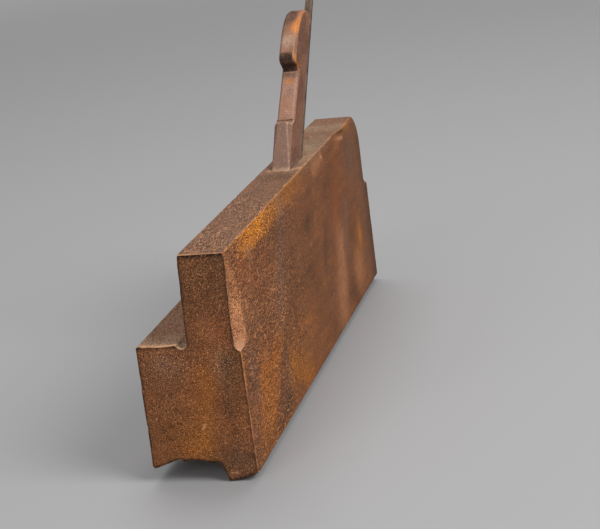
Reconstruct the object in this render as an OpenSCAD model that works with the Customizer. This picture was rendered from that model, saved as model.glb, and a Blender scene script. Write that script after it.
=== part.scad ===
// Wooden moulding plane with a sprung quirk-ogee sole, its iron and its wedge.
// The frame: +X forward to the toe, +Y to the blind (fence) side, +Z up.
// The origin lies midway along and across the stock, at the height of the fence's lowest edge.

/* [Stock] */
// Length from toe to heel
stock_l = 241.3; // [200:0.1:280]
// Thickness across the wide lower part
stock_w = 40.4; // [36:0.1:48]
// Height from the fence's lowest edge to the top
stock_h = 87.5; // [80:0.1:96]
// Thickness of the grip at the top
grip_top_w = 18.8; // [17:0.1:22]
// Thickness of the grip where it meets the shoulder
grip_foot_w = 20.2; // [18:0.1:24]
// Height of the shoulder
shoulder_z = 53.8; // [48:0.1:60]
// Thickness at the shoulder's outer edge
shoulder_w = 39.7; // [35:0.1:42]
// Radius of the gouged groove between the shoulder and the grip
groove_r = 2.4; // [1:0.1:4]
// Radius of the worn outer arrises
arris_r = 0.9; // [0.3:0.1:2]

/* [Sole] */
// Angle at which the profile is sprung
spring = 19.5; // [10:0.5:25]
// Distance of the depth stop's inner end from the blind side
stop_in = 29.1; // [26:0.1:33]
// Drop of the quirk beside the depth stop
quirk_h = 1.7; // [0.5:0.1:3]
// Width of the quirk's sloping side
quirk_w = 0.9; // [0.3:0.1:2]
// Radius of the ogee's upper sweep
ogee_r1 = 12.9; // [8:0.1:16]
// Radius of the ogee's lower sweep
ogee_r2 = 6.9; // [4:0.1:8]
// Angle of each sweep of the ogee
ogee_turn = 39.8; // [25:0.1:45]
// Depth of the fence's face below the depth stop
fence_h = 14.7; // [12:0.1:17]
// Height of the blind side's lower edge
blind_z = 2.8; // [1:0.1:5]

/* [Heel and chamfers] */
// Radius of the heel's rounded top corner
heel_r = 17.4; // [8:0.1:30]
// Width of the top edge's chamfer down the blind side
top_chamfer_w = 8.5; // [4:0.1:12]
// Depth of the top edge's chamfer into the top
top_chamfer_d = 1.5; // [0.5:0.1:3]
// Distance from the toe at which the top chamfer stops
top_chamfer_l = 196; // [150:1:205]
// Length of the top chamfer's gouge-cut stop
top_stop_l = 12; // [2:0.5:20]
// Width of the end chamfers along the blind side, at their foot
end_chamfer_w = 9.8; // [5:0.1:14]
// Depth of the toe's chamfer into the toe, over its lower part
toe_chamfer_d = 2.0; // [0.8:0.1:3]
// Depth of the toe's chamfer at the top
toe_chamfer_top_d = 1.0; // [0.5:0.1:3]
// Depth of the heel's chamfer into the heel
heel_chamfer_d = 1.4; // [0.8:0.1:3]
// Width of the heel's chamfer where it reaches the top
heel_chamfer_w = 2.2; // [1:0.1:5]
// Length over which the heel's chamfer runs out along the top
heel_run = 9; // [4:0.5:15]
// Height at which the end chamfers stop
end_chamfer_z = 50.8; // [44:0.1:60]
// Length of the end chamfers' gouge-cut stops
end_stop_l = 2; // [1:0.1:5]

/* [Bed, mortise and throat] */
// Pitch of the bed
pitch = 47; // [44:0.5:55]
// Distance of the bed's top edge from the toe
bed_top = 146; // [130:0.5:160]
// Thickness of the wall between the mortise and the blind side
blind_wall = 6.05; // [5:0.05:8]
// Width of the mortise
mortise_w = 8.2; // [7:0.1:10]
// Clearance beside the wedge and the iron
side_gap = 0.1; // [0.05:0.01:0.3]
// Distance from the bed to the mortise's front at the top of the bed
breast = 20.0; // [16:0.1:24]
// Taper of the wedge
taper = 7; // [5:0.5:9]
// Width of the mouth slot, square to the bed
mouth = 5.0; // [4.2:0.1:6]
// Distance of the blade's outer edge from the blind side
blade_d1 = 30.3; // [28:0.1:34]
// Radius of the throat's eye on the escapement side
eye_r = 8; // [7:0.5:11]
// Radius of the throat's eye on the blind side
inner_eye_r = 4; // [2:0.5:4]
// Depth of the eye's lowest point under the bed, where the bed cuts it off
eye_under = 0.5; // [0.2:0.1:1]
// Distance of the eye down the bed from its top edge, on the escapement side
eye_down = 69; // [66:0.5:80]
// Distance of the eye down the bed from its top edge, on the blind side
inner_eye_down = 72.5; // [66:0.5:80]

/* [Iron] */
// Thickness of the iron
iron_t = 3.3; // [2.6:0.1:3.8]
// Thickness of the tang's upper end
tang_end_t = 2.5; // [1.8:0.1:3.3]
// Height of the tang's end above the bed's top edge, along the bed
tang_up = 92; // [80:1:110]
// Width of the tang at the shoulders
tang_w = 7.6; // [5:0.1:8]
// Width of the tang's upper end
tang_end_w = 2.9; // [2:0.1:6]
// Distance of the shoulders down the bed from its top edge
blade_down = 75; // [72:0.5:80]
// Length of the laid steel bit
bit_l = 26; // [20:0.5:30]
// Thickness of the laid steel bit
bit_t = 1.2; // [0.8:0.1:2]
// Clearance angle behind the cutting edge
relief = 14; // [8:0.5:20]

/* [Wedge] */
// Distance of the wedge's tip down the bed from its top edge
wedge_down = 88; // [80:0.5:95]
// Length of the pared tip
tip_l = 24; // [15:0.5:30]
// Thickness of the pared tip
tip_t = 1; // [0.5:0.1:2]
// Height of the step between the shank and the neck, along the bed
step_up = 5.3; // [2:0.1:12]
// Length of the cove above the step
cove_l = 3.9; // [2:0.1:5]
// Distance from the bed to the neck's front at the cove
neck_low = 16.4; // [13:0.1:18]
// Distance from the bed to the neck's front under the head
neck_high = 14.2; // [11:0.1:17]
// Chamfer at the neck's front corners
neck_chamfer = 1.0; // [0.4:0.1:1.8]
// Chamfer at the step, where the shank's chamfer is widest
shank_chamfer = 2.0; // [0.6:0.1:2.4]
// Chamfer round the head's front
head_chamfer = 1.3; // [0.5:0.1:2]
// Height of the head's underside, along the bed
head_up = 35.5; // [30:0.5:45]
// Radius of the nose
nose_r = 3.5; // [2:0.1:5]
// Length of the head's rounded front above the nose
head_l = 32.5; // [24:0.5:36]
// Fullness of the head's front: 1 is an ellipse, less is fuller
head_full = 0.88; // [0.7:0.01:1]
// Distance from the iron to the head's front
head_t = 18; // [14:0.1:20]
// Radius of the scoop under the head
scoop_r = 2; // [1.5:0.1:4]

/* [Hidden] */
$fn = 48;
beyond = 4;
curve_steps = 10;
stop_steps = 4;
fit_gap = 0.05;
stop_z = fence_h * cos(spring) - ogee_run() * sin(spring);
wedge_d0 = blind_wall + side_gap;
wedge_d1 = blind_wall + mortise_w - side_gap;
iron_d0 = blind_wall + side_gap;
wedge_back = iron_t + fit_gap;
blade_len = stock_h / sin(pitch) + mouth;
under_sole = -blade_len - 10;
mouth_top = -blade_len + 20;
over_top = 40;
past_side = stock_w + 1;

function ogee_run() = quirk_w + (ogee_r1 + ogee_r2) * sin(ogee_turn) + 0.1;
function ogee_fall() = quirk_h + (ogee_r1 + ogee_r2) * (1 - cos(ogee_turn));
function from_toe(d) = stock_l / 2 - d;
function from_blind(d) = stock_w / 2 - d;
function front_n(s) = breast + s * tan(taper);
function wedge_n(s) = front_n(s) - fit_gap;

// Points of an arc round a centre, from one angle to another
function arc(c, r, from, to, steps = curve_steps) =
    [for (i = [0:steps]) c + r * [cos(from + (to - from) * i / steps), sin(from + (to - from) * i / steps)]];

// Points of a cubic curve drawn by four control points
function cubic(a, b, c, d, steps = 16) =
    [for (i = [0:steps]) let (t = i / steps, u = 1 - t)
        u * u * u * a + 3 * u * u * t * b + 3 * u * t * t * c + t * t * t * d];

// A place in the sprung profile: u along the depth stop to the fence, w square to it and down
function sprung(u, w) = [
    from_blind(stop_in - u * cos(spring) - w * sin(spring)),
    stop_z + u * sin(spring) - w * cos(spring)
];

// The ogee from the depth stop's inner end to the fence, in the sprung profile
function ogee_points() = concat(
    [[0, 0]],
    arc([quirk_w, quirk_h + ogee_r1], ogee_r1, -90, -90 + ogee_turn),
    arc([ogee_run() - 0.1, ogee_fall() - ogee_r2], ogee_r2, 90 + ogee_turn, 90),
    [[ogee_run(), ogee_fall()]]
);

// The edge that the iron cuts, from the escapement side to the fence's face
function cutting_line() = concat(
    [sprung(-40, 0)],
    [for (p = ogee_points()) sprung(p[0], p[1])]
);

// The stock's end outline, as (y, z) points
function stock_outline() = concat(
    cutting_line_on_stock(),
    [sprung(ogee_run(), fence_h)],
    [[from_blind(0), blind_z]],
    arc([from_blind(arris_r), stock_h - arris_r], arris_r, 0, 90, 4),
    [[from_blind(grip_top_w), stock_h]],
    [[from_blind(grip_foot_w), shoulder_z + 0.2]],
    arc([from_blind(grip_foot_w + 0.8 * groove_r), shoulder_z + 0.38 * groove_r], groove_r, -20, -158, 8),
    [[from_blind(0.5 * (grip_foot_w + groove_r + shoulder_w)), shoulder_z - 0.3]],
    arc([from_blind(shoulder_w - arris_r), shoulder_z - arris_r], arris_r, 90, 180, 4)
);

// The depth stop with its worn outer corner, then the ogee
function cutting_line_on_stock() = concat(
    [[from_blind(stock_w), stop_corner_z() + arris_r]],
    [[from_blind(stock_w - arris_r), stop_corner_z()]],
    [for (p = ogee_points()) sprung(p[0], p[1])]
);
function stop_corner_z() = stop_z - (stock_w - arris_r - stop_in) * tan(spring);

// A closed solid through rings of equally many points
module loft(rings) {
    m = len(rings[0]);
    last = len(rings) - 1;
    polyhedron(
        points = [for (r = rings) each r],
        faces = concat(
            [[for (i = [0:m - 1]) i]],
            [[for (i = [m - 1:-1:0]) last * m + i]],
            [for (k = [0:last - 1], i = [0:m - 1])
                [k * m + i, (k + 1) * m + i, (k + 1) * m + (i + 1) % m, k * m + (i + 1) % m]]
        ),
        convexity = 4
    );
}

// Draws a side view, x forward and z up, right across the stock
module side_view() {
    translate([0, stock_w / 2 + beyond, 0])
        rotate([90, 0, 0])
            linear_extrude(stock_w + 2 * beyond)
                children();
}

// Stands children on the bed: x up along the bed, y from the blind side, z square to the bed
module on_bed() {
    translate([from_toe(bed_top), stock_w / 2, stock_h])
        rotate([0, -pitch, 180])
            children();
}

// Draws a shape seen from the side of the bed, x up the bed and y square to it, between two depths
module between(d0, d1) {
    translate([0, d1, 0])
        rotate([90, 0, 0])
            linear_extrude(d1 - d0)
                children();
}

// The rounded top of the heel, as the wood that is cut away
module heel_round() {
    translate([from_toe(stock_l), 0, stock_h])
        side_view()
            difference() {
                translate([-beyond, -heel_r])
                    square([heel_r + beyond, heel_r + beyond]);
                translate([heel_r, -heel_r])
                    circle(heel_r, $fn = 96);
            }
}

// A section of a chamfer of the blind side's edge, w wide and d deep, where n points out of the wood
function chamfer_ring(p, n, w, d) = [
    [p[0] + beyond * n[0], from_blind(-beyond), p[1] + beyond * n[1]],
    [p[0] - 1.2 * w * n[0], from_blind(-0.2 * d), p[1] - 1.2 * w * n[1]],
    [p[0] + 0.2 * w * n[0], from_blind(1.2 * d), p[1] + 0.2 * w * n[1]]
];

// How much of a chamfer is left at step i of its gouge-cut stop
function stop_part(i) = sqrt(1 - pow(i / (stop_steps + 0.2), 2));

// The end chamfers' width at a height: they narrow to the top
function end_chamfer_at(z) =
    end_chamfer_w * cos(78 * min(1, (z - end_chamfer_z) / (stock_h - end_chamfer_z)));

// The low chamfer along the blind side's top edge, with a stop near the heel
module top_chamfer() {
    stop = from_toe(top_chamfer_l);
    function ring(x, k) = chamfer_ring([x, stock_h], [0, 1], top_chamfer_w * k, top_chamfer_d * k);
    loft(concat(
        [ring(from_toe(-beyond), 1)],
        [for (i = [0:stop_steps]) ring(stop + top_stop_l * (1 - i / stop_steps), stop_part(i))]
    ));
}

// The chamfer up the toe end, with a stop at its foot
module toe_chamfer() {
    low = end_chamfer_z + end_stop_l;
    high = stock_h + beyond;
    full_z = end_chamfer_z + 0.35 * (stock_h - end_chamfer_z);
    function depth(z) =
        toe_chamfer_d + (toe_chamfer_top_d - toe_chamfer_d) * max(0, min(1, (z - full_z) / (stock_h - full_z)));
    function ring(z, k) =
        chamfer_ring([from_toe(0), z], [1, 0], end_chamfer_at(z) * k, depth(z) * k);
    loft(concat(
        [for (i = [stop_steps:-1:1]) ring(low - end_stop_l * i / stop_steps, stop_part(i))],
        [for (i = [0:8]) ring(low + (high - low) * i / 8, 1)]
    ));
}

// The chamfer up the heel end and over its rounded corner, run out along the top
module heel_chamfer() {
    centre = [from_toe(stock_l) + heel_r, stock_h - heel_r];
    low = end_chamfer_z + end_stop_l;
    wide = end_chamfer_at(centre[1]);
    function ring(p, n, w, k) = chamfer_ring(p, n, w * k, heel_chamfer_d * k);
    function up(z, k) = ring([from_toe(stock_l), z], [-1, 0], end_chamfer_at(z), k);
    function round_width(a) = heel_chamfer_w + (wide - heel_chamfer_w) * cos(a);
    rings = concat(
        [for (i = [stop_steps:-1:1]) up(low - end_stop_l * i / stop_steps, stop_part(i))],
        [for (i = [0:3]) up(low + (centre[1] - low) * i / 3, 1)],
        [for (a = [10:10:90]) let (n = [-cos(a), sin(a)]) ring(centre + heel_r * n, n, round_width(a), 1)],
        [for (i = [1:stop_steps])
            ring([centre[0] + heel_run * i / stop_steps, stock_h], [0, 1], heel_chamfer_w, stop_part(i))]
    );
    loft([for (i = [len(rings) - 1:-1:0]) rings[i]]);
}

// The mortise for the tang and the wedge, right down to the mouth
module mortise() {
    wear = -(wedge_down + 4);
    on_bed()
        between(blind_wall, blind_wall + mortise_w)
            polygon([
                [under_sole, 0],
                [under_sole, mouth],
                [mouth_top, mouth],
                [wear, front_n(wear)],
                [over_top, front_n(over_top)],
                [over_top, 0]
            ]);
}

// The mouth: a slot across the sole, open to the escapement side
module mouth_slot() {
    on_bed()
        between(blind_wall, past_side)
            translate([under_sole, 0])
                square([mouth_top - under_sole, mouth]);
}

// The conical throat, open to the escapement side and bounded by the bed
module throat() {
    skin = 0.5;
    on_bed()
        intersection() {
            hull() {
                between(stock_w - skin, past_side)
                    translate([-eye_down, eye_r - eye_under])
                        circle(eye_r, $fn = 32);
                between(blind_wall, blind_wall + skin)
                    translate([-inner_eye_down, inner_eye_r - eye_under])
                        circle(inner_eye_r, $fn = 32);
                translate([mouth_top - skin, blind_wall, 0])
                    cube([skin, past_side - blind_wall, mouth]);
            }
            translate([under_sole, 0, 0])
                cube([-under_sole, past_side + 1, stock_h]);
        }
}

module stock() {
    color("sienna")
        difference() {
            translate([-stock_l / 2, 0, 0])
                rotate([90, 0, 90])
                    linear_extrude(stock_l)
                        polygon(stock_outline());
            heel_round();
            top_chamfer();
            toe_chamfer();
            heel_chamfer();
            mortise();
            mouth_slot();
            throat();
        }
}

// Everything under the sole's line, drawn along the relief so that it leaves a bevel behind the edge
module under_edge() {
    k = sin(pitch - relief) / sin(pitch);
    face_x = from_toe(bed_top) + stock_h / tan(pitch) + iron_t / sin(pitch);
    low = -60;
    line = cutting_line();
    clear_z = sprung(ogee_run(), ogee_fall())[1] + 1.5;
    end_y = from_blind(blind_wall - beyond);
    translate([face_x, 0, 0])
        rotate([0, relief, 0])
            translate([-40, 0, 0])
                rotate([90, 0, 90])
                    linear_extrude(80)
                        polygon(concat(
                            [for (p = line) [p[0], p[1] * k]],
                            [[end_y, clear_z * k], [end_y, low], [line[0][0], low]]
                        ));
}

// The outline of the whole iron on the bed: tang above, blade below
module iron_outline() {
    r = 4;
    low = -blade_len - 6;
    polygon(concat(
        [[low, iron_d0]],
        [[tang_up - 1, iron_d0]],
        [[tang_up, iron_d0 + 0.8]],
        [[tang_up, iron_d0 + tang_end_w - 0.8]],
        [[tang_up - 1, iron_d0 + tang_end_w]],
        arc([-blade_down + r, iron_d0 + tang_w + r], r, -90, -180, 6),
        arc([-blade_down - 3, blade_d1 - 3], 3, 0, 90, 6),
        [[low, blade_d1]]
    ));
}

// The laid steel's place on the iron's face
module bit_place() {
    edge = -(stock_h - stop_z) / sin(pitch);
    translate([edge + bit_l - 80, 0, iron_t - bit_t])
        cube([80, stock_w, bit_t + 1]);
}

// The iron before its bit is told apart: a bevelled blade and a tang that thins above the stock
module whole_iron() {
    difference() {
        on_bed()
            difference() {
                linear_extrude(iron_t)
                    iron_outline();
                between(0, stock_w)
                    polygon([
                        [2, iron_t],
                        [tang_up + 1, tang_end_t],
                        [tang_up + 1, iron_t + 1],
                        [2, iron_t + 1]
                    ]);
            }
        under_edge();
    }
}

module iron_body() {
    color("dimgray")
        difference() {
            whole_iron();
            on_bed()
                bit_place();
        }
}

module steel_bit() {
    color("slategray")
        intersection() {
            whole_iron();
            on_bed()
                bit_place();
        }
}

// The head's outline, drawn in by c all round its front
function head_points(c) = concat(
    [[head_up + c, wedge_back]],
    arc([head_up + nose_r, wedge_back + head_t - nose_r], nose_r - c, 180, 90, 8),
    [for (i = [1:14]) let (t = 90 * i / 14)
        [head_up + nose_r + (head_l - 0.4 * c) * pow(sin(t), head_full),
         wedge_back + (head_t - c) * pow(max(cos(t), 0), head_full)]]
);

module wedge_head() {
    hull() {
        between(wedge_d0 + head_chamfer, wedge_d1 - head_chamfer)
            polygon(head_points(0));
        between(wedge_d0, wedge_d1)
            polygon(head_points(head_chamfer));
    }
}

// The neck, from the cove to inside the head
module wedge_neck() {
    top = head_up + 4;
    function line(c) = [
        [step_up, wedge_back],
        [step_up, neck_low - c],
        [step_up + cove_l, neck_low - c],
        [top, neck_high - c],
        [top, wedge_back]
    ];
    hull() {
        between(wedge_d0 + neck_chamfer, wedge_d1 - neck_chamfer)
            polygon(line(0));
        between(wedge_d0, wedge_d1)
            polygon(line(neck_chamfer));
    }
}

// The cove that runs the neck out to the step
module wedge_cove() {
    high = wedge_n(step_up) - 0.8;
    difference() {
        hull() {
            between(wedge_d0 + shank_chamfer, wedge_d1 - shank_chamfer)
                translate([step_up, wedge_back])
                    square([cove_l, high - wedge_back]);
            between(wedge_d0, wedge_d1)
                translate([step_up, wedge_back])
                    square([cove_l, high - wedge_back - shank_chamfer]);
        }
        translate([step_up + cove_l + 0.2, stock_w / 2, neck_low + cove_l])
            rotate([90, 0, 0])
                cylinder(h = stock_w, r = cove_l, center = true);
    }
}

// The shank: straight down the mortise, chamfered only where it shows, pared thin at its tip
module wedge_shank() {
    plain = -20.9;
    pare = -wedge_down + tip_l;
    between(wedge_d0, wedge_d1)
        polygon(concat(
            [[-wedge_down, wedge_back]],
            cubic(
                [-wedge_down, wedge_back + tip_t],
                [-wedge_down + 0.4 * tip_l, wedge_back + tip_t + 0.2],
                [pare - 4, wedge_n(pare - 4) - 1],
                [pare, wedge_n(pare)],
                8
            ),
            [[plain, wedge_n(plain)], [plain, wedge_back]]
        ));
    hull() {
        shank_section(plain, 0, 0);
        shank_section(step_up, 0, shank_chamfer);
        shank_section(step_up, shank_chamfer, 0);
    }
}

// A thin section of the shank, drawn in at its sides and lowered at its front
module shank_section(s, side, front) {
    thin = 0.01;
    translate([s - thin, wedge_d0 + side, wedge_back])
        cube([thin, wedge_d1 - wedge_d0 - 2 * side, wedge_n(s) - front - wedge_back]);
}

module wedge() {
    color("rosybrown")
        on_bed()
            difference() {
                union() {
                    wedge_shank();
                    wedge_cove();
                    wedge_neck();
                    wedge_head();
                }
                translate([head_up - 0.7, stock_w / 2, neck_high + 0.2 + scoop_r])
                    rotate([90, 0, 0])
                        cylinder(h = stock_w, r = scoop_r, center = true);
            }
}

stock();
wedge();
iron_body();
steel_bit();
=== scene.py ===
import math

import bpy
import numpy as np
from mathutils import Matrix, Vector


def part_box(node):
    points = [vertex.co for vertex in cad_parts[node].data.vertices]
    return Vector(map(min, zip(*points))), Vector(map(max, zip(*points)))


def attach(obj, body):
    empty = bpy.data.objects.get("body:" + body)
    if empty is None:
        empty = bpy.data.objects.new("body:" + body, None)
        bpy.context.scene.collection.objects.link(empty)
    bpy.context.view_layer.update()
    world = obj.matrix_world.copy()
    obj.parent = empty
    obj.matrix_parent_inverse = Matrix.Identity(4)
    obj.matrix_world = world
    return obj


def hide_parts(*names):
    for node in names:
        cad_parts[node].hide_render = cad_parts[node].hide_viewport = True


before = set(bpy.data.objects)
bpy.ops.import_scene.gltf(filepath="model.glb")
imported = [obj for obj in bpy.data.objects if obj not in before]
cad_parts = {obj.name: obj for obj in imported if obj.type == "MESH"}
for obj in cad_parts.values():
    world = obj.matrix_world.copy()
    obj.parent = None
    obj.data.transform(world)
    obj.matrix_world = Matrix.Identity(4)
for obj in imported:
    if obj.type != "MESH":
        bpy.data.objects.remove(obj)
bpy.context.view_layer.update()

# The stock's box in millimetres: the toe's end, the blind side and the top
MM = 0.001
STOCK_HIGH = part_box("stock")[1]
TOE = STOCK_HIGH.x / MM
BLIND = STOCK_HIGH.y / MM
TOP = STOCK_HIGH.z / MM

# The bed meets the top this far from the toe, at this pitch
BED_FROM_TOE = 146
PITCH = math.radians(47)

# How finely each copy is meshed, and how often its arrises are eased
STOCK_VOXEL = 0.42 * MM
SMALL_VOXEL = 0.28 * MM
STOCK_EASE = 1
SMALL_EASE = 2


# Smooth random numbers, and curves that shape them

LATTICE_SIZE = 32
LATTICE_SHIFT = 7.3
SPOT_FALL = 1.4


def lattice_noise(points, cell, seed):
    """Smooth noise from 0 to 1 at points, with one lattice cell of the given size or sizes."""
    lattice = np.random.default_rng(seed).random((LATTICE_SIZE, LATTICE_SIZE, LATTICE_SIZE))
    at = points / np.asarray(cell, float) + LATTICE_SHIFT
    whole = np.floor(at).astype(int)
    part = at - whole
    part = part * part * (3 - 2 * part)
    value = np.zeros(len(points))
    for i in (0, 1):
        for j in (0, 1):
            for k in (0, 1):
                weight = np.abs(1 - np.array((i, j, k)) - part).prod(axis=1)
                corner = (whole + (i, j, k)) % LATTICE_SIZE
                value += weight * lattice[corner[:, 0], corner[:, 1], corner[:, 2]]
    return value


def layered_noise(points, cell, seed, layers=3):
    """Several layers of lattice noise, each half as large and half as strong as the one before."""
    total = np.zeros(len(points))
    weight = 0
    for layer in range(layers):
        share = 0.5 ** layer
        total += share * lattice_noise(points, np.asarray(cell, float) * share, seed + layer)
        weight += share
    return total / weight


def rise(value, low, high):
    """0 below low, 1 above high, and a smooth rise between."""
    t = np.clip((value - low) / (high - low), 0, 1)
    return t * t * (3 - 2 * t)


def fall(value, low, high):
    """1 below low, 0 above high, and a smooth fall between."""
    return 1 - rise(value, low, high)


def ridge(value, centre, width):
    """1 at a centre and a soft fall on both sides of it."""
    return np.exp(-((value - centre) / width) ** 2)


def spot(points, centre, radius):
    """1 at a centre and a soft fall to nothing about a radius and a half away."""
    away = (points - np.asarray(centre, float)) / np.asarray(radius, float)
    return np.exp(-SPOT_FALL * np.einsum("ij,ij->i", away, away))


def line(points, start, end, width):
    """1 along a straight line and a soft fall beside it."""
    start = np.asarray(start, float)
    run = np.asarray(end, float) - start
    share = np.clip((points - start) @ run / (run @ run), 0, 1)
    away = points - start - share[:, None] * run
    return np.exp(-np.einsum("ij,ij->i", away, away) / width ** 2)


# Worn copies of the CAD parts

def vertex_numbers(mesh, name):
    """Three numbers for each vertex, such as its place or its normal."""
    numbers = np.zeros(len(mesh.vertices) * 3)
    mesh.vertices.foreach_get(name, numbers)
    return numbers.reshape(-1, 3)


def edge_ends(mesh):
    """The two vertices of each edge."""
    ends = np.zeros(len(mesh.edges) * 2, np.int64)
    mesh.edges.foreach_get("vertices", ends)
    return ends.reshape(-1, 2)


def neighbour_mean(values, ends):
    """The mean of each vertex's neighbours."""
    flat = values.reshape(len(values), -1)
    total = np.zeros_like(flat)
    count = np.zeros(len(values))
    for a, b in ((0, 1), (1, 0)):
        for axis in range(flat.shape[1]):
            total[:, axis] += np.bincount(ends[:, a], flat[ends[:, b], axis], len(values))
        count += np.bincount(ends[:, a], minlength=len(values))
    return (total / np.maximum(count, 1)[:, None]).reshape(values.shape)


def fine_copy(node, name, voxel, smoothing):
    """A finely meshed copy of a CAD node, with its arrises eased a little."""
    piece = bpy.data.objects.new(name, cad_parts[node].data.copy())
    bpy.context.scene.collection.objects.link(piece)
    remesh = piece.modifiers.new("fine", "REMESH")
    remesh.mode = "VOXEL"
    remesh.voxel_size = voxel
    remesh.use_smooth_shade = True
    ease = piece.modifiers.new("ease", "SMOOTH")
    ease.factor = 0.5
    ease.iterations = smoothing
    depsgraph = bpy.context.evaluated_depsgraph_get()
    mesh = bpy.data.meshes.new_from_object(piece.evaluated_get(depsgraph))
    piece.modifiers.clear()
    piece.data = mesh
    mesh.name = name
    mesh.polygons.foreach_set("use_smooth", [True] * len(mesh.polygons))
    mesh.materials.clear()
    return piece


class Surface:
    """The vertices of a fine copy: places in millimetres, normals, edges that stand out and creases."""

    def __init__(self, piece, node, rounds, sharp):
        self.mesh = piece.data
        self.low, self.high = (np.array(corner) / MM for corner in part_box(node))
        self.ends = edge_ends(self.mesh)
        self.read()
        smooth = self.softened(self.at, rounds)
        out = np.einsum("ij,ij->i", self.at - smooth, self.normal)
        self.edge = rise(out, 0.35 * sharp, sharp)
        self.crease = rise(-out, 0.2 * sharp, sharp)
        self.wide_edge = self.softened(self.edge, 3)

    def read(self):
        self.at = vertex_numbers(self.mesh, "co") / MM
        self.normal = vertex_numbers(self.mesh, "normal")

    def push(self, distance):
        """Moves vertices along their normals, in millimetres, and keeps them in the node's box."""
        moved = np.clip(self.at + self.normal * distance[:, None], self.low, self.high)
        self.mesh.vertices.foreach_set("co", (moved * MM).ravel())
        self.mesh.update()
        self.read()

    def softened(self, values, rounds):
        """Values spread over their neighbours, so that a border fades."""
        for _ in range(rounds):
            values = neighbour_mean(values, self.ends)
        return values

    def mask(self, name, values):
        """Stores one number from 0 to 1 for each vertex, under a name that a material reads."""
        mask = self.mesh.attributes.new(name, "FLOAT", "POINT")
        mask.data.foreach_set("value", np.clip(values, 0, 1).astype(np.float32))


# Nodes of a material

# The sockets of a Mix node that mixes colours
MIX_SHARE = 0
MIX_FIRST = 6
MIX_SECOND = 7
MIX_COLOUR = 2


class Shader:
    """Builds one material's node tree with few words. Places and sizes are in millimetres."""

    def __init__(self, name):
        self.material = bpy.data.materials.new(name)
        self.material.use_nodes = True
        self.tree = self.material.node_tree
        self.tree.nodes.clear()
        self.bsdf = self.tree.nodes.new("ShaderNodeBsdfPrincipled")
        output = self.tree.nodes.new("ShaderNodeOutputMaterial")
        self.tree.links.new(self.bsdf.outputs[0], output.inputs["Surface"])
        place = self.tree.nodes.new("ShaderNodeTexCoord")
        self.place = self.scaled(place.outputs["Object"], 1 / MM)

    def put(self, socket, value):
        if isinstance(value, bpy.types.NodeSocket):
            self.tree.links.new(value, socket)
        elif isinstance(value, tuple) and socket.type == "RGBA":
            socket.default_value = (*value, 1)
        else:
            socket.default_value = value

    def math(self, operation, a, b=0.0):
        node = self.tree.nodes.new("ShaderNodeMath")
        node.operation = operation
        self.put(node.inputs[0], a)
        self.put(node.inputs[1], b)
        return node.outputs[0]

    def times(self, a, b):
        return self.math("MULTIPLY", a, b)

    def plus(self, a, b):
        return self.math("ADD", a, b)

    def blend(self, *shares):
        """The sum of some values, each times its weight."""
        total = self.times(*shares[0])
        for value, weight in shares[1:]:
            total = self.plus(total, self.times(value, weight))
        return total

    def scaled(self, vector, factor):
        node = self.tree.nodes.new("ShaderNodeVectorMath")
        node.operation = "SCALE"
        self.put(node.inputs[0], vector)
        self.put(node.inputs["Scale"], factor)
        return node.outputs[0]

    def shaped(self, value, low, high, out_low=0.0, out_high=1.0):
        """A smooth rise from out_low to out_high as a value goes from low to high."""
        node = self.tree.nodes.new("ShaderNodeMapRange")
        node.interpolation_type = "SMOOTHSTEP"
        self.put(node.inputs["Value"], value)
        node.inputs["From Min"].default_value = low
        node.inputs["From Max"].default_value = high
        node.inputs["To Min"].default_value = out_low
        node.inputs["To Max"].default_value = out_high
        return node.outputs[0]

    def swing(self, noise):
        """Noise spread over -1 to 1."""
        return self.shaped(noise, 0.30, 0.70, -1.0, 1.0)

    def noise(self, cell, detail=3.0, roughness=0.55, place=None, seed=0.0):
        """Noise with one cell size, or one for each axis."""
        sizes = (cell, cell, cell) if isinstance(cell, (int, float)) else cell
        at = self.tree.nodes.new("ShaderNodeVectorMath")
        at.operation = "MULTIPLY_ADD"
        self.put(at.inputs[0], place or self.place)
        at.inputs[1].default_value = [1 / s for s in sizes]
        at.inputs[2].default_value = (seed, 0.37 * seed, 0.61 * seed)
        node = self.tree.nodes.new("ShaderNodeTexNoise")
        self.put(node.inputs["Vector"], at.outputs[0])
        node.inputs["Scale"].default_value = 1.0
        node.inputs["Detail"].default_value = detail
        node.inputs["Roughness"].default_value = roughness
        return node.outputs["Fac"]

    def mix(self, share, a, b):
        node = self.tree.nodes.new("ShaderNodeMix")
        node.data_type = "RGBA"
        self.put(node.inputs[MIX_SHARE], share)
        self.put(node.inputs[MIX_FIRST], a)
        self.put(node.inputs[MIX_SECOND], b)
        return node.outputs[MIX_COLOUR]

    def mask(self, name):
        node = self.tree.nodes.new("ShaderNodeAttribute")
        node.attribute_name = name
        return node.outputs["Fac"]

    def bump(self, height, distance, strength):
        node = self.tree.nodes.new("ShaderNodeBump")
        node.inputs["Distance"].default_value = distance * MM
        node.inputs["Strength"].default_value = strength
        self.put(node.inputs["Height"], height)
        self.put(self.bsdf.inputs["Normal"], node.outputs[0])


def tree_place(shader, pith):
    """Places as the tree grew: along the grain, round the pith and out from it, in millimetres."""
    split = shader.tree.nodes.new("ShaderNodeSeparateXYZ")
    shader.put(split.inputs[0], shader.place)
    across = shader.math("SUBTRACT", split.outputs[1], pith[0])
    up = shader.math("SUBTRACT", split.outputs[2], pith[1])
    square = shader.plus(shader.times(across, across), shader.times(up, up))
    join = shader.tree.nodes.new("ShaderNodeCombineXYZ")
    shader.put(join.inputs[0], split.outputs[0])
    shader.put(join.inputs[1], shader.times(shader.math("ARCTAN2", across, up), math.hypot(*pith)))
    shader.put(join.inputs[2], shader.math("SQRT", square))
    return join.outputs[0]


# The kinds of stain, in the order in which they lie over each other. The dust kind also carries painted
# sheen, and the grime kind painted shade.
STAIN_KINDS = ("red", "warm", "tan", "dust_and_sheen", "olive", "grime_and_shade")

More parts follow.
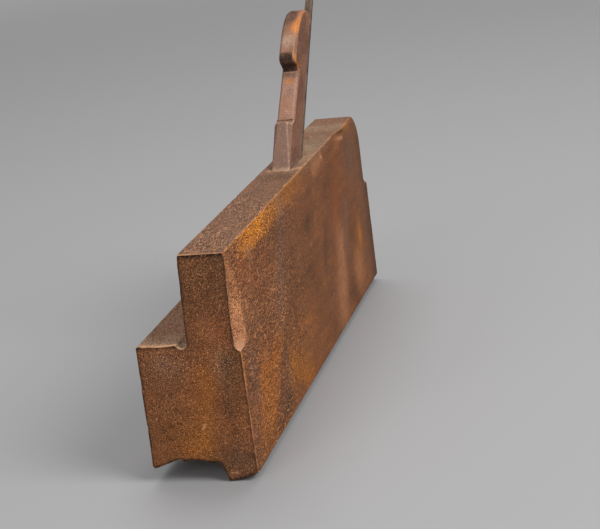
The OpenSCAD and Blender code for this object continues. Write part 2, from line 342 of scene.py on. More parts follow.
# The grain's contrast, its mean and darkest level, and how strongly flecks and specks show
GRIT_CONTRAST = 0.90
FINE_CONTRAST = 0.85
CLUMP_CONTRAST = 0.06
MEAN_LEVEL = 0.97
DARKEST_LEVEL = 0.38
LIGHT_FLECK_SHARE = 0.66
DARK_FLECK_SHARE = 0.34
SPECK_SHARE = 0.55


def beech(name, pith, colours):
    """Old beech: growth bands, ray flecks, pores, grime in the grain, patches of wear and rubbed edges, with
    the painted sheen, highlights and shade that its masks carry.
    """
    s = Shader(name)
    grown = tree_place(s, pith)
    bands = s.noise((120, 40, 1.7), detail=2, place=grown)
    streaks = s.noise((26, 2.6, 2.6), detail=3, roughness=0.6)
    mottle = s.noise((30, 17, 17), detail=4, roughness=0.6)
    blotch = s.noise((8, 5, 5), detail=4, roughness=0.65)
    clump = s.noise((4.0, 1.3, 1.3), detail=2, roughness=0.7, seed=3)
    grit = s.noise((1.3, 0.36, 0.32), detail=2, roughness=0.8)
    fine = s.noise((2.3, 0.28, 0.25), detail=1, roughness=0.7, seed=31)
    light_flecks = s.shaped(s.noise((2.2, 0.36, 0.50), detail=1, place=grown, seed=5), 0.58, 0.68)
    dark_flecks = s.shaped(s.noise((1.8, 0.34, 0.46), detail=1, place=grown, seed=17), 0.57, 0.68)
    specks = s.shaped(s.noise(0.8, detail=1, seed=43), 0.67, 0.73)
    grain = s.mask("grain")

    tone = s.blend((mottle, 0.40), (blotch, 0.34), (bands, 0.10), (streaks, 0.16))
    colour = s.mix(s.shaped(tone, 0.38, 0.50), colours["dark"], colours["middle"])
    colour = s.mix(s.shaped(tone, 0.50, 0.62), colour, colours["light"])
    broken = s.shaped(s.blend((blotch, 0.5), (grit, 0.5)), 0.36, 0.64, 0.5, 1.1)
    # Stains, among them painted sheen on the stock's upward faces and painted shade under the wedge's head
    for kind in STAIN_KINDS:
        colour = s.mix(s.times(s.mask(kind), broken), colour, colours[kind])
    colour = s.mix(s.times(grain, s.times(light_flecks, LIGHT_FLECK_SHARE)), colour, colours["fleck"])
    colour = s.mix(s.times(grain, s.times(dark_flecks, DARK_FLECK_SHARE)), colour, colours["pore"])
    contrast = s.blend((s.swing(grit), GRIT_CONTRAST), (s.swing(fine), FINE_CONTRAST),
                       (s.swing(clump), CLUMP_CONTRAST))
    level = s.math("MAXIMUM", s.plus(s.times(contrast, grain), MEAN_LEVEL), DARKEST_LEVEL)
    colour = s.scaled(colour, level)
    colour = s.mix(s.times(specks, SPECK_SHARE), colour, colours["bare"])
    # Bare wood where it is rubbed, and painted highlights along the stock's arrises
    rubbed_and_highlight = s.times(s.mask("rubbed_and_highlight"), s.shaped(s.noise(2.6, detail=4), 0.36, 0.56, 0.35, 1.0))
    colour = s.mix(rubbed_and_highlight, colour, colours["bare"])
    colour = s.mix(s.mask("scratch"), colour, colours["bare"])
    # Dirt, and painted shade in the creases and under the wedge's head
    crumbs = s.shaped(s.noise(1.7, detail=3, roughness=0.7), 0.34, 0.56, 0.30, 1.0)
    colour = s.mix(s.times(s.mask("dirt_and_shade"), crumbs), colour, colours["dirt_and_shade"])
    s.put(s.bsdf.inputs["Base Color"], colour)

    dull = s.plus(s.mask("dust_and_sheen"), s.mask("olive"))
    s.put(s.bsdf.inputs["Roughness"], s.plus(s.shaped(blotch, 0.3, 0.7, 0.50, 0.66), s.times(dull, 0.14)))
    s.bsdf.inputs["Specular IOR Level"].default_value = 0.03
    height = s.times(s.blend((grit, 0.9), (fine, 0.5)), s.plus(s.times(grain, 0.7), 0.3))
    height = s.plus(height, s.blend((dark_flecks, -0.35), (streaks, 0.6)))
    s.bump(height, 0.12, 0.7)
    return s.material


def old_metal(name, colours, metallic, gloss, rough, grain):
    """Old iron or steel: stained, faintly pitted, and brighter where it is rubbed."""
    s = Shader(name)
    mottle = s.noise(9, detail=5, roughness=0.65)
    pits = s.noise(1.1, detail=4, roughness=0.7)
    lines = s.noise(grain, detail=3, roughness=0.6)
    pit_colour = tuple(0.4 * c for c in colours["stain"])
    base = s.mix(s.shaped(mottle, 0.36, 0.62), colours["plain"], colours["stain"])
    base = s.mix(s.times(s.shaped(pits, 0.52, 0.72), 0.6), base, pit_colour)
    base = s.scaled(base, s.shaped(lines, 0.3, 0.7, 0.82, 1.18))
    base = s.mix(s.times(s.mask("rubbed_and_highlight"), s.shaped(mottle, 0.35, 0.6, 0.8, 0.3)), base, colours["bright"])
    s.put(s.bsdf.inputs["Base Color"], base)
    s.bsdf.inputs["Metallic"].default_value = metallic
    s.bsdf.inputs["Specular IOR Level"].default_value = gloss
    s.put(s.bsdf.inputs["Roughness"], s.shaped(mottle, 0.3, 0.7, rough, rough + 0.18))
    s.bump(s.blend((pits, -0.8), (lines, 0.5)), 0.14, 0.7)
    return s.material


# The stock. Its places are in millimetres from the toe, across towards the blind side and up.

# Faces that look up are the shoulder below this height, and the top above it
SHOULDER_TO = 60

# Nicks in the arrises: the centre, the radius and the depth
NICKS = (
    ((0, 18.6, 61.1), 0.9, 0.40), ((0.3, 19.9, 3.6), 1.3, 0.55), ((157.6, 20.2, 84.5), 1.6, 0.45),
    ((0, -19.6, 22), 1.0, 0.35), ((61, -19.8, 53.5), 2.2, 0.45), ((0.2, 2.0, 87.2), 0.9, 0.30),
    ((238, 19.6, 30), 1.4, 0.45), ((120.3, 20.2, 64.3), 1.6, 0.25), ((203, -19.8, 52.8), 1.6, 0.5),
)

# Scratches: the two ends and the strength
SCRATCHES = (
    ((24.0, 20.0, 84.5), (27.6, 20.0, 75.5), 0.7), ((25.6, 20.0, 85.0), (28.8, 20.0, 76.5), 0.8),
    ((27.4, 20.0, 86.0), (30.2, 20.0, 79.0), 0.6), ((34.0, 20.0, 70.5), (35.4, 20.2, 67.5), 0.8),
    ((14.0, 20.0, 65.5), (14.8, 20.2, 62.5), 0.9), ((69.0, 20.2, 52.0), (72.0, 20.2, 50.5), 0.35),
    ((0, 1.4, 20.8), (0, 2.8, 22.8), 0.9), ((0, 9.8, 3.4), (0, 12.6, 3.5), 0.7),
    ((140, 20.2, 22), (148, 20.2, 23), 0.25), ((96, 20.2, 60), (97.5, 20.2, 56), 0.3),
    ((60.3, 20.2, 42.4), (55.3, 20.2, 33.2), 0.30),
    ((70, 5, 87.5), (76, 7.5, 87.5), 0.35), ((31, 12, 87.5), (34, 9.5, 87.5), 0.5),
    ((182, 10, 87.5), (187, 8, 87.5), 0.3), ((88, -19.6, 30), (97, -19.8, 33), 0.5),
    ((150, -19.4, 44), (161, -19.4, 40), 0.4), ((205, -19.5, 18), (213, -19.5, 20), 0.4),
)
SCRATCH_WIDTH = 0.30
SCRATCH_DEPTH = 0.08

# Where a splinter has torn off the blind side's upper arris: the two ends, the width and the depth
TORN = ((181, BLIND, 87.6), (199, BLIND, 85.2), 1.2)
TORN_DEPTH = 0.7

# How deep the broad wear of the faces and the nibbling of the arrises go
FACE_WEAR = 0.16
EDGE_WEAR = 0.36

# Stained spots: the face, the centre, the half sizes and the strength. On the two sides a centre is from the
# toe and up, on the toe it is across and up, and elsewhere it has all three numbers.
SPOTS = {
    "warm": (
        ("blind", (42, 84.5), (17, 4), 0.6), ("blind", (54, 87), (4, 1.6), 0.5),
        ("blind", (95, 26), (40, 18), 0.12), ("blind", (202, 20), (10, 12), 0.22),
        ("blind", (213, 32), (5, 8), 1.0), ("toe", (-2, 16), (13, 12), 0.30),
        ("top", (88, 3.2, TOP), (16, 1.8, 2), 0.30), ("top", (42, -3, TOP), (9, 1.6, 2), 0.35),
        ("open_side", (206, 34), (20, 12), 0.4), ("heel", (241, 4, 30), (9, 11, 16), 0.4),
    ),
    "red": (
        ("blind", (12, 76), (10, 8), 0.45), ("blind", (206, 60), (16, 14), 0.15),
        ("blind", (86, 6), (14, 6), 0.4), ("toe", (5, 36), (9, 14), 0.45), ("toe", (11.5, 60), (6, 9), 0.5),
        ("top", (30, -2, TOP - 0.5), (6, 2.6, 2), 0.8), ("top", (88, 4, TOP), (15, 2.6, 2), 0.7),
    ),
    "tan": (
        ("blind", (203, 17), (11, 12), 0.50), ("blind", (20, 58), (9, 8), 0.22),
        ("blind", (9, 62), (4, 10), 0.25), ("toe", (8.5, 60), (3, 6), 0.22),
        ("open_side", (128, 16), (26, 7), 0.4), ("open_side", (150, 74), (30, 6), 0.35),
    ),
    "dust_and_sheen": (
        ("blind", (12, 38), (5, 16), 0.4), ("blind", (57, 24), (4, 8), 0.6),
        ("blind", (208, 72), (14, 12), 0.65), ("toe", (-9, 46), (8, 6), 0.6), ("toe", (14, 8), (8, 8), 0.4),
    ),
    "olive": (
        ("toe", (12, 45), (3.5, 8), 0.3),
    ),
    "grime_and_shade": (
        ("blind", (27, 60), (16, 9), 0.25), ("blind", (57, 24), (4, 6), 0.4),
        ("blind", (99, 44.6), (8, 4), 0.4), ("blind", (116, 65.4), (8, 3), 0.8),
        ("blind", (206, 74), (13, 12), 0.22), ("toe", (13, 9), (9, 9), 0.48), ("toe", (-1, 17), (9, 9), 0.12),
        ("toe", (18, 56), (2.6, 12), 0.35), ("top", (109, 13, TOP), (8, 10, 4), 0.5),
        ("open_side", (84, 27), (17, 17), 0.75), ("open_side", (104, 70), (26, 9), 0.35),
    ),
}

# Stained bands: the face, the two ends, the width and the strength
BANDS = {
    "warm": (("blind", (210, 24), (212, 12), 7, 0.2), ("toe", (5.8, 42), (1, 14), 4.5, 0.26)),
    "red": (("blind", (179, 74), (165, 50), 6, 0.62),),
    "tan": (("blind", (171, 37), (163, 12), 11, 0.62), ("blind", (138, 82), (158, 84), 2.6, 0.4)),
    "dust_and_sheen": (("blind", (81, 86), (59, 48), 7, 0.55), ("blind", (191, 53), (182, 37), 4, 0.75)),
    "olive": (),
    "grime_and_shade": (("blind", (145, 52), (138, 39), 4, 0.45),),
}


def from_toe(at):
    """Places with their first number counted from the toe towards the heel."""
    return np.column_stack([TOE - at[:, 0], at[:, 1], at[:, 2]])


def wear_stock(surface):
    """Wears and nicks the stock and scratches it, and gives how strongly each vertex is scratched."""
    place = from_toe(surface.at)
    nibble = layered_noise(surface.at, 7, 21)
    move = -FACE_WEAR * layered_noise(surface.at, 30, 11)
    move -= surface.edge * EDGE_WEAR * rise(nibble, 0.62, 0.80) * (0.4 + 0.6 * rise(place[:, 0], 1, 4))
    move -= TORN_DEPTH * line(place, *TORN)
    for centre, radius, depth in NICKS:
        move -= depth * spot(place, centre, (radius, radius, radius))
    scratched = np.zeros(len(place))
    for start, end, strength in SCRATCHES:
        scratched = np.maximum(scratched, strength * line(place, start, end, SCRATCH_WIDTH))
    move -= SCRATCH_DEPTH * scratched
    surface.push(move)
    return scratched


class StockFaces:
    """The stock's faces and features, each as a number from 0 to 1 for every vertex, and marks on them."""

    def __init__(self, surface):
        self.surface = surface
        self.place = from_toe(surface.at)
        self.flat = self.place * (1, 0, 1)
        self.nx, self.ny, self.nz = surface.normal.T
        t, y, z = self.place.T
        self.t = t
        self.z = z
        self.rough = layered_noise(surface.at, 16, 41)
        self.crumble = layered_noise(surface.at, 3.2, 51)

        self.toe = rise(self.nx, 0.80, 0.97)
        self.heel = rise(-self.nx, 0.6, 0.9)
        self.blind = rise(self.ny, 0.55, 0.85)
        self.open_side = rise(-self.ny, 0.55, 0.85)
        self.sole = rise(-self.nz, 0.4, 0.8)
        facing_up = rise(self.nz, 0.6, 0.9)
        self.top = facing_up * (z > SHOULDER_TO)
        self.shoulder = facing_up * (z < SHOULDER_TO)
        self.by_name = {"toe": self.toe, "heel": self.heel, "top": self.top, "blind": self.blind,
                        "open_side": self.open_side}

        # The toe's long chamfer, its stop, and the hollow where the shoulder meets the grip
        chamfer = rise(self.nx, 0.10, 0.15) * rise(self.ny, 0.7, 0.9) * rise(z, 49, 50.5) * (t < 14)
        self.chamfer = surface.softened(chamfer, 14) * rise(self.ny, 0.4, 0.8)
        stop = rise(z, 50.0, 50.9) * fall(z, 53.2, 54.4) * fall(t, 5, 8) * rise(self.ny, 0.3, 0.5)
        self.stop = stop * (1 - self.toe) * rise(y + 0.16 * self.nx, 15, 18)
        # The hollow's wall is later painted pale, as painted light over the shade in it
        hollow = rise(z, 51.4, 52) * fall(z, 55.5, 57) * rise(y, -5, -4.4) * fall(y, 0.2, 0.8)
        self.hollow = hollow * (1 - self.toe)

        # The blind side's upper arris, the strip below it, and the pale place behind the mortise
        self.crest = self.blind * ridge(z, TOP - 0.2, 0.5)
        strip_low = TOP - 7.6 + 0.05 * np.maximum(t - 60, 0) + 3 * (self.crumble - 0.5)
        self.strip = self.blind * rise(z - strip_low, -2.0, 1.6)
        self.pale_top = self.top * spot(self.place, (146, 15.5, TOP), (13, 4.5, 4))

    def on(self, face, centre, size):
        """A soft spot on one face."""
        where = self.place
        if face in ("blind", "open_side"):
            where = self.flat
            centre = (centre[0], 0, centre[1])
            size = (size[0], 1, size[1])
        elif face == "toe":
            centre = (0, *centre)
            size = (1, *size)
        return self.by_name[face] * spot(where, centre, size)

    def along(self, face, start, end, width):
        """A soft band on the blind side or on the toe."""
        if face == "blind":
            return self.blind * line(self.flat, (start[0], 0, start[1]), (end[0], 0, end[1]), width)
        return self.toe * line(self.place, (0, *start), (0, *end), width)

    def marks(self, kind):
        """All spots and bands of one kind of stain."""
        total = np.zeros(len(self.t))
        for face, centre, size, strength in SPOTS[kind]:
            total += strength * self.on(face, centre, size)
        for face, start, end, width, strength in BANDS[kind]:
            total += strength * self.along(face, start, end, width)
        return total


def stain_blind_side(faces, stains):
    """The golden strip along the top, a slanted golden patch low at the front, and a dirty rear end that a
    painted sheen greys.
    """
    t, z, blind, rough, crumble = faces.t, faces.z, faces.blind, faces.rough, faces.crumble
    low_front = blind * rise(t - 0.47 * z, 2, 7) * fall(t - 0.90 * z, 19, 28)
    low_front *= rise(z, 3, 14) * fall(z, 32, 43)
    sole_edge = blind * fall(z, 1.5, 7) * rise(t, 8, 22) * fall(t, 55, 90)
    toe_arris = blind * (t < 2) * (z > 38) * (z < 50)
    broken_band = faces.along("blind", (63, 22), (92, 6), 7) * (0.4 + 0.8 * crumble)
    stains["warm"] += faces.strip * rise(t, 8, 30) * fall(t, 70, 130) * (0.22 + 0.85 * rough)
    stains["warm"] += faces.crest * fall(t, 105, 140) * 0.9 + sole_edge * 0.30 + toe_arris * 0.8
    stains["warm"] += low_front * (0.16 + 0.30 * rough + 0.34 * (crumble - 0.3)) + broken_band * 0.60
    stains["warm"] += spot(faces.place, (211, 19.6, 86.5), (9, 3, 4)) * 0.7
    stains["red"] += low_front * 0.9 + blind * rise(rough, 0.55, 0.75) * 0.3
    stains["tan"] += faces.chamfer * (0.64 + 0.55 * fall(z, 56, 74)) * (0.62 + 0.7 * crumble)
    stains["tan"] += faces.crest * rise(t, 100, 140) * 0.7
    # Painted sheen: the rear of the blind side is greyed as if it mirrored the room
    stains["dust_and_sheen"] += blind * rise(t, 190, 232) * 0.30
    stains["grime_and_shade"] += faces.on("blind", (51, 11), (9, 8)) * (0.7 + 0.6 * crumble)
    stains["grime_and_shade"] += blind * rise(t, 224, 240) * 0.7 + low_front * 0.16


def stain_toe(faces, stains):
    """The toe is darker towards its top, and has a crumbled dark streak near the blind side."""
    dark_streak = faces.along("toe", (14.7, 47), (13.4, 28), 3.2) * (0.1 + faces.crumble)
    stains["red"] += faces.toe * rise(faces.rough, 0.55, 0.75) * 0.5
    stains["grime_and_shade"] += faces.toe * rise(faces.z, 54, 84) * 0.52 + dark_streak


def stain_top(faces, stains):
    """The top and the shoulder: dust and a painted sheen over them, a pale film round the mortise, and dirt
    in front of it.
    """
    t, top, shoulder = faces.t, faces.top, faces.shoulder
    film = (top + 0.5 * faces.strip) * spot(faces.place, (152, 13, TOP), (34, 13, 5))
    rear_film = top * rise(t, 190, 202) * fall(t, 206, 214)
    # Partly dust and partly painted sheen: every face that looks up is greyed as if it mirrored the pale room
    stains["dust_and_sheen"] += top * 0.85 + shoulder * 0.75
    stains["olive"] += film * (0.6 + 0.9 * faces.rough) + rear_film * 0.6
    # The last term is painted light: the hollow's shaded wall is made pale
    stains["olive"] += shoulder * (0.2 + 0.6 * fall(t, 1, 18)) + faces.pale_top * 0.6 + faces.hollow * 0.8
    stains["grime_and_shade"] += top * fall(t, 110, 124) * 0.17


def stain_hidden_sides(faces, stains):
    """Sides that the photo doesn't show: the same wear and staining, in places of their own."""
    t, z, open_side, heel = faces.t, faces.z, faces.open_side, faces.heel
    hidden = np.maximum(open_side, heel)
    broad = layered_noise(faces.surface.at, (46, 30, 22), 141)
    streaky = layered_noise(faces.surface.at, (60, 9, 7), 151)
    golden = faces.on("open_side", (34, 26), (22, 13))
    stains["warm"] += hidden * (rise(broad, 0.50, 0.72) * 0.55 + golden * 0.35)
    stains["red"] += hidden * rise(streaky, 0.52, 0.72) * 0.6
    stains["dust_and_sheen"] += hidden * fall(broad, 0.30, 0.46) * 0.6
    stains["grime_and_shade"] += hidden * fall(streaky, 0.28, 0.44) * 0.4 + heel * fall(z, 0, 9) * 0.4
    stains["grime_and_shade"] += open_side * (rise(t, 228, 241) + fall(t, 0, 9)) * 0.3
    stains["grime_and_shade"] += open_side * rise(z, 55, 57) * fall(z, 58, 66) * 0.4 + faces.sole * 0.25


def wear_and_highlight_on_stock(faces):
    """Bare wood on the shoulder's front end, the mortise's rim, the torn edge and a nick, and painted
    highlights on the arrises that face up and towards the blind side, partly rubbed bare.
    """
    t, z, ny, nz = faces.t, faces.z, faces.ny, faces.nz
    edge, wide_edge = faces.surface.edge, faces.surface.wide_edge
    # Painted highlight, partly rubbed wear: arrises that face up and towards the blind side are paled
    lit_edge = edge * (1 - faces.toe) * (1 - 0.65 * rise(-ny, 0.1, 0.5)) * rise(nz + ny, 0.2, 0.7)
    # Painted highlight: pale lines along the toe's upper arris and along its arris with the blind side
    front_of_top = wide_edge * (t < 1.3) * (z > 80) * rise(nz, 0.25, 0.6)
    front_of_side = wide_edge * (t < 1.6) * (z < 50) * rise(ny, 0.2, 0.6) * (1.6 - rise(z, 30, 44))
    mortise_rim = line(faces.place, (121, 5, TOP), (120, 13, TOP), 1.0)
    mortise_rim += line(faces.place, (120, 13, TOP), (125, 19, TOP), 1.1)
    torn = line(faces.place, (178, BLIND, 86.8), (200, BLIND, 82.8), 0.9)
    nick = spot(faces.place, (157.7, BLIND, 84), (1.6, 3, 1.4))
    rubbed_and_highlight = 0.42 * lit_edge * (0.3 + rise(faces.crumble, 0.35, 0.6)) + 0.12 * faces.crest
    rubbed_and_highlight += faces.shoulder * fall(t, 0.6, 3.0) * 0.8 + front_of_top + front_of_side
    rubbed_and_highlight += faces.top * mortise_rim * 0.65 + faces.pale_top * 0.35
    return rubbed_and_highlight + torn * 0.6 + nick * 0.6


def dirt_and_shade_on_stock(faces):
    """Dirt round the toe and the heel and in the torn edge, and painted shade in the creases."""
    wide_edge = faces.surface.wide_edge
    rim = wide_edge * faces.toe * (0.5 + faces.crumble)
    upper_rim = faces.toe * rise(faces.z, TOP - 2.4, TOP - 0.5)
    splinter = line(faces.place, (187, BLIND, 87.6), (200, BLIND, 86.2), 0.7)
    # Painted shade darkens the creases, but hardly in the hollow, whose wall is painted light
    dirt_and_shade = faces.surface.crease * (1 - 0.85 * faces.hollow) + 2.4 * rim + 0.3 * faces.heel * wide_edge
    return dirt_and_shade + 0.8 * upper_rim + 0.9 * splinter


def grain_of_stock(faces):
    """How strong the grain's contrast is: strong near the toe, faint towards the heel, and patchy."""
    t = faces.t
    calm_toe = spot(faces.place, (0, 0, 17), (4, 19, 15))
    grain = 0.50 + faces.blind * (0.50 - 0.86 * rise(t, 34, 125)) * (1 - 0.5 * faces.chamfer)
    grain += faces.top * (0.22 - 0.46 * rise(t, 30, 120)) + faces.toe * (0.32 - 0.12 * calm_toe)
    patchy = 0.74 + 0.50 * rise(layered_noise(faces.surface.at, 10, 171), 0.36, 0.64)
    return grain * patchy - 0.12 * faces.sole


def dress_stock():
    """The worn and stained copy of the stock, with painted sheen, highlights and shade."""
    piece = fine_copy("stock", "stock_wood", STOCK_VOXEL, STOCK_EASE)
    surface = Surface(piece, "stock", rounds=6, sharp=0.22)
    scratched = wear_stock(surface)
    faces = StockFaces(surface)
    stains = {kind: faces.marks(kind) for kind in STAIN_KINDS}
    for stain in (stain_blind_side, stain_toe, stain_top, stain_hidden_sides):
        stain(faces, stains)
    for kind, values in stains.items():
        surface.mask(kind, values)
    surface.mask("rubbed_and_highlight", wear_and_highlight_on_stock(faces))
    surface.mask("scratch", np.maximum(scratched, 0.75 * faces.stop * (0.6 + 0.5 * faces.crumble)))
    surface.mask("dirt_and_shade", dirt_and_shade_on_stock(faces))
    surface.mask("grain", grain_of_stock(faces))
    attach(piece, "stock")
    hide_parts("stock")
    return piece


# The wedge. Its places are in millimetres up the bed from the stock's top, across, and out from the bed.

WEDGE_GRAIN = 0.22
STEP_AT = 8.6


def dress_wedge():
    """The worn and stained copy of the wedge, with painted shade under its head."""
    piece = fine_copy("wedge", "wedge_wood", SMALL_VOXEL, SMALL_EASE)
    surface = Surface(piece, "wedge", rounds=6, sharp=0.14)
    nibble = layered_noise(surface.at, 4, 61)
    surface.push(-0.06 * layered_noise(surface.at, 9, 71) - surface.edge * 0.16 * rise(nibble, 0.5, 0.8))

    cos, sin = math.cos(PITCH), math.sin(PITCH)
    nx, ny, nz = surface.normal.T
    back = surface.at[:, 0] - (TOE - BED_FROM_TOE)
    y = surface.at[:, 1]
    up = surface.at[:, 2] - TOP
    along = -back * cos + up * sin
    place = np.column_stack([along, y, back * sin + up * cos])
    flat = place * (1, 1, 0)
    head = rise(along, 34, 38)
    neck = rise(along, 8, 10) * (1 - head)
    shank = fall(along, 7, 9)
    front = rise(nx * sin + nz * cos, 0.4, 0.8)
    flank = rise(ny, 0.6, 0.9)
    off_flanks = (1 - flank) * (1 - rise(-ny, 0.6, 0.9))
    patches = layered_noise(surface.at, 9, 81)
    patchy = rise(patches, 0.4, 0.6)

    def flat_spot(centre, size):
        return spot(flat, (*centre, 0), (*size, 1))

    neck_orange = flat_spot((29.5, 9.9), (2.6, 2.3))
    neck_red = flat_spot((15.8, 8.4), (6, 2.2))
    orange = flat_spot((58, 13.4), (8, 1.7)) + flat_spot((54.5, 12.2), (4, 2.2))
    orange += 0.9 * neck_orange + 1.3 * flat_spot((37.2, 13.6), (3.0, 1.0))
    orange *= off_flanks * (0.72 + 0.66 * patches)
    neck_tan = neck * front * (0.75 + 0.3 * rise(along, 10, 28)) * (1 - 0.85 * neck_orange - 0.5 * neck_red)
    base_line = ridge(up, 0, 0.9)
    low_brow = (1 - flank) * flat_spot((46.5, 9), (4, 5))

    # Painted shade on the underside of the head, and the dark brow over it
    shade_under_head = rise(nx * cos - nz * sin, -0.25, 0.1) * rise(along, 30, 34) * fall(along, 39.4, 40.8)
    shade_under_head *= fall(y - 12.2 - 0.30 * (39 - along), -0.4, 0.6) * off_flanks
    brow = flat_spot((62.5, 8.2), (6.5, 4.6)) * 1.9 + flat_spot((50, 7.0), (4, 2.2)) * 0.3
    brow += rise(-ny, 0.6, 0.9) * (0.2 + 0.4 * patchy)
    step_line = ridge(along, STEP_AT, 0.42) * front

    red = head * spot(place, (66, 10, 10), (8, 6, 14)) * 0.4 + neck * 0.35 * patchy
    tan = spot(place, (47, 9, 18), (5, 5, 6)) * 0.7 + neck_tan + flank * rise(-along, 6, 13) * 0.5
    dust_and_sheen = (shank * 0.8 + neck * 0.2) * (1 - 0.8 * flank) + flat_spot((23, 10.8), (3, 2)) * 0.6
    rubbed_and_highlight = surface.edge * (0.4 + 0.3 * shank) * (1 - shade_under_head)
    surface.mask("warm", orange + flank * spot(place, (54, 14, 9), (4, 3, 3)) * 0.3)
    surface.mask("red", red + neck_red * 0.8 + flank * 0.4)
    surface.mask("tan", tan)
    surface.mask("dust_and_sheen", dust_and_sheen)
    surface.mask("olive", base_line * (0.6 + 0.6 * patches) + low_brow * 0.85)
    # The grime mask also holds the painted shade under the head
    surface.mask("grime_and_shade", shade_under_head + brow * (1 - flank) + flank * (0.36 + 0.34 * patchy))
    surface.mask("rubbed_and_highlight", rubbed_and_highlight + 1.7 * surface.wide_edge * front * (y > 11))
    surface.mask("scratch", np.zeros(len(y)))
    # The dirt mask also holds painted shade, in the creases and under the head
    surface.mask("dirt_and_shade", surface.crease + 0.9 * step_line + 0.75 * shade_under_head)
    surface.mask("grain", np.full(len(y), WEDGE_GRAIN))
    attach(piece, "wedge")
    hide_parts("wedge")
    return piece


# The iron and its bit

def dress_metal(node, name):
    """The worn copy of one of the iron's two pieces."""
    piece = fine_copy(node, name, SMALL_VOXEL, SMALL_EASE)
    surface = Surface(piece, node, rounds=5, sharp=0.12)
    surface.push(-0.08 * layered_noise(surface.at, 4, 91))
    surface.mask("rubbed_and_highlight", surface.edge)
    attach(piece, "iron")
    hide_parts(node)
    return piece


# Colours, and where the pith of each piece of wood lay: across and up, in millimetres

STOCK_PITH = (52, -96)
# The dust colour also paints sheen, the grime and dirt colours also paint shade, and the bare colour also
# paints highlights along the stock's arrises
STOCK_COLOURS = {
    "dark": (0.105, 0.044, 0.022), "middle": (0.165, 0.066, 0.030), "light": (0.235, 0.090, 0.036),
    "warm": (0.42, 0.145, 0.018), "red": (0.225, 0.070, 0.026), "tan": (0.46, 0.200, 0.095),
    "dust_and_sheen": (0.175, 0.102, 0.072), "olive": (0.265, 0.185, 0.125), "grime_and_shade": (0.060, 0.036, 0.023),
    "fleck": (0.54, 0.230, 0.075), "pore": (0.045, 0.020, 0.011), "bare": (0.52, 0.275, 0.145),
    "dirt_and_shade": (0.022, 0.014, 0.010),
}
WEDGE_PITH = (70, 60)
WEDGE_COLOURS = {
    "dark": (0.18, 0.090, 0.055), "middle": (0.25, 0.125, 0.080), "light": (0.33, 0.170, 0.110),
    "warm": (0.66, 0.215, 0.030), "red": (0.30, 0.115, 0.060), "tan": (0.38, 0.215, 0.150),
    "dust_and_sheen": (0.185, 0.118, 0.092), "olive": (0.40, 0.270, 0.195), "grime_and_shade": (0.070, 0.038, 0.030),
    "fleck": (0.48, 0.26, 0.15), "pore": (0.070, 0.034, 0.020), "bare": (0.50, 0.31, 0.21),
    "dirt_and_shade": (0.030, 0.018, 0.012),
}
IRON_COLOURS = {"plain": (0.135, 0.092, 0.066), "stain": (0.082, 0.050, 0.033), "bright": (0.21, 0.165, 0.13)}
STEEL_COLOURS = {"plain": (0.40, 0.38, 0.36), "stain": (0.24, 0.19, 0.15), "bright": (0.62, 0.60, 0.57)}

stock = dress_stock()
wedge = dress_wedge()
iron = dress_metal("iron_body", "iron_forged")
bit = dress_metal("steel_bit", "bit_ground")
stock.data.materials.append(beech("old_beech_stock", STOCK_PITH, STOCK_COLOURS))
wedge.data.materials.append(beech("old_beech_wedge", WEDGE_PITH, WEDGE_COLOURS))
iron.data.materials.append(old_metal("wrought_iron_patina", IRON_COLOURS, metallic=0.05, gloss=0.15,
                                     rough=0.58, grain=(40, 0.8, 0.8)))
bit.data.materials.append(old_metal("bit_steel_ground", STEEL_COLOURS, metallic=0.85, gloss=0.5,
                                    rough=0.30, grain=(0.3, 12, 0.3)))


# Floor, lights and camera

FLOOR_SIZE = 30
FLOOR_COLOUR = (0.32, 0.317, 0.32, 1)
FAR_FLOOR_COLOUR = (0.98, 0.99, 1, 1)
FAR_FLOOR_STRENGTH = 0.27
FAR_FLOOR_FROM = 500
FAR_FLOOR_TO = 3200
ROOM_COLOUR = (0.92, 0.92, 0.93, 1)
ROOM_STRENGTH = 0.42
LAMPS_AIM = (0, 0, 0.05)
CAMERA_PLACE = (0.6279, 0.1841, 0.2325)
CAMERA_AIM = (0, 0.01328, 0.04561)
CAMERA_ROLL = math.radians(-7.55)
CAMERA_LENS = 94.6


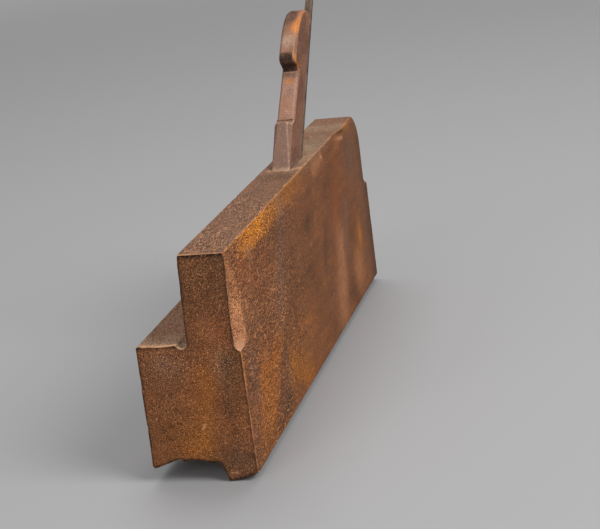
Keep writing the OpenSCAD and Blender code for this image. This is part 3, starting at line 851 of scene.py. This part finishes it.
def floor():
    """A plain pale floor that fades into the room far away."""
    bpy.ops.mesh.primitive_plane_add(size=FLOOR_SIZE, location=(0, 0, 0))
    plane = bpy.context.object
    plane.name = "floor"
    s = Shader("pale_floor")
    s.bsdf.inputs["Base Color"].default_value = FLOOR_COLOUR
    s.bsdf.inputs["Roughness"].default_value = 0.65
    s.bsdf.inputs["Specular IOR Level"].default_value = 0.3

    # Far from the plane the floor is seen as pale as the room behind it, and sheds no light for that
    path = s.tree.nodes.new("ShaderNodeLightPath")
    seen = s.plus(path.outputs["Is Camera Ray"], path.outputs["Is Glossy Ray"])
    seen = s.plus(seen, path.outputs["Is Transmission Ray"])
    away = s.tree.nodes.new("ShaderNodeVectorMath")
    away.operation = "LENGTH"
    s.put(away.inputs[0], s.place)
    far = s.shaped(away.outputs["Value"], FAR_FLOOR_FROM, FAR_FLOOR_TO, 0.0, FAR_FLOOR_STRENGTH)
    s.bsdf.inputs["Emission Color"].default_value = FAR_FLOOR_COLOUR
    s.put(s.bsdf.inputs["Emission Strength"], s.times(seen, far))
    plane.data.materials.append(s.material)


def soft_light(name, place, size, power):
    """A round soft lamp that is turned to the plane."""
    lamp = bpy.data.lights.new(name, "AREA")
    lamp.shape = "DISK"
    lamp.size = size
    lamp.energy = power
    obj = bpy.data.objects.new(name, lamp)
    bpy.context.scene.collection.objects.link(obj)
    obj.location = place
    obj.rotation_euler = (Vector(LAMPS_AIM) - obj.location).to_track_quat("-Z", "Y").to_euler()


def camera():
    """The camera at the photograph's viewing angle."""
    data = bpy.data.cameras.new("camera")
    data.sensor_width = 36
    data.lens = CAMERA_LENS
    data.clip_start = 0.05
    obj = bpy.data.objects.new("camera", data)
    bpy.context.scene.collection.objects.link(obj)
    obj.location = CAMERA_PLACE
    look = (Vector(CAMERA_AIM) - obj.location).to_track_quat("-Z", "Y").to_matrix()
    obj.rotation_euler = (look @ Matrix.Rotation(CAMERA_ROLL, 3, "Z")).to_euler()
    bpy.context.scene.camera = obj


def room():
    """An even pale light from all round."""
    world = bpy.data.worlds.new("soft_room")
    world.use_nodes = True
    background = world.node_tree.nodes["Background"]
    background.inputs["Color"].default_value = ROOM_COLOUR
    background.inputs["Strength"].default_value = ROOM_STRENGTH
    bpy.context.scene.world = world


floor()
soft_light("key", place=(0.45, 1.0, 1.0), size=0.8, power=17)
soft_light("top", place=(-0.5, -0.1, 1.3), size=1.0, power=9)
soft_light("front", place=(1.3, -0.4, 0.6), size=0.9, power=5)
camera()
room()
bpy.context.scene.view_settings.view_transform = "Standard"
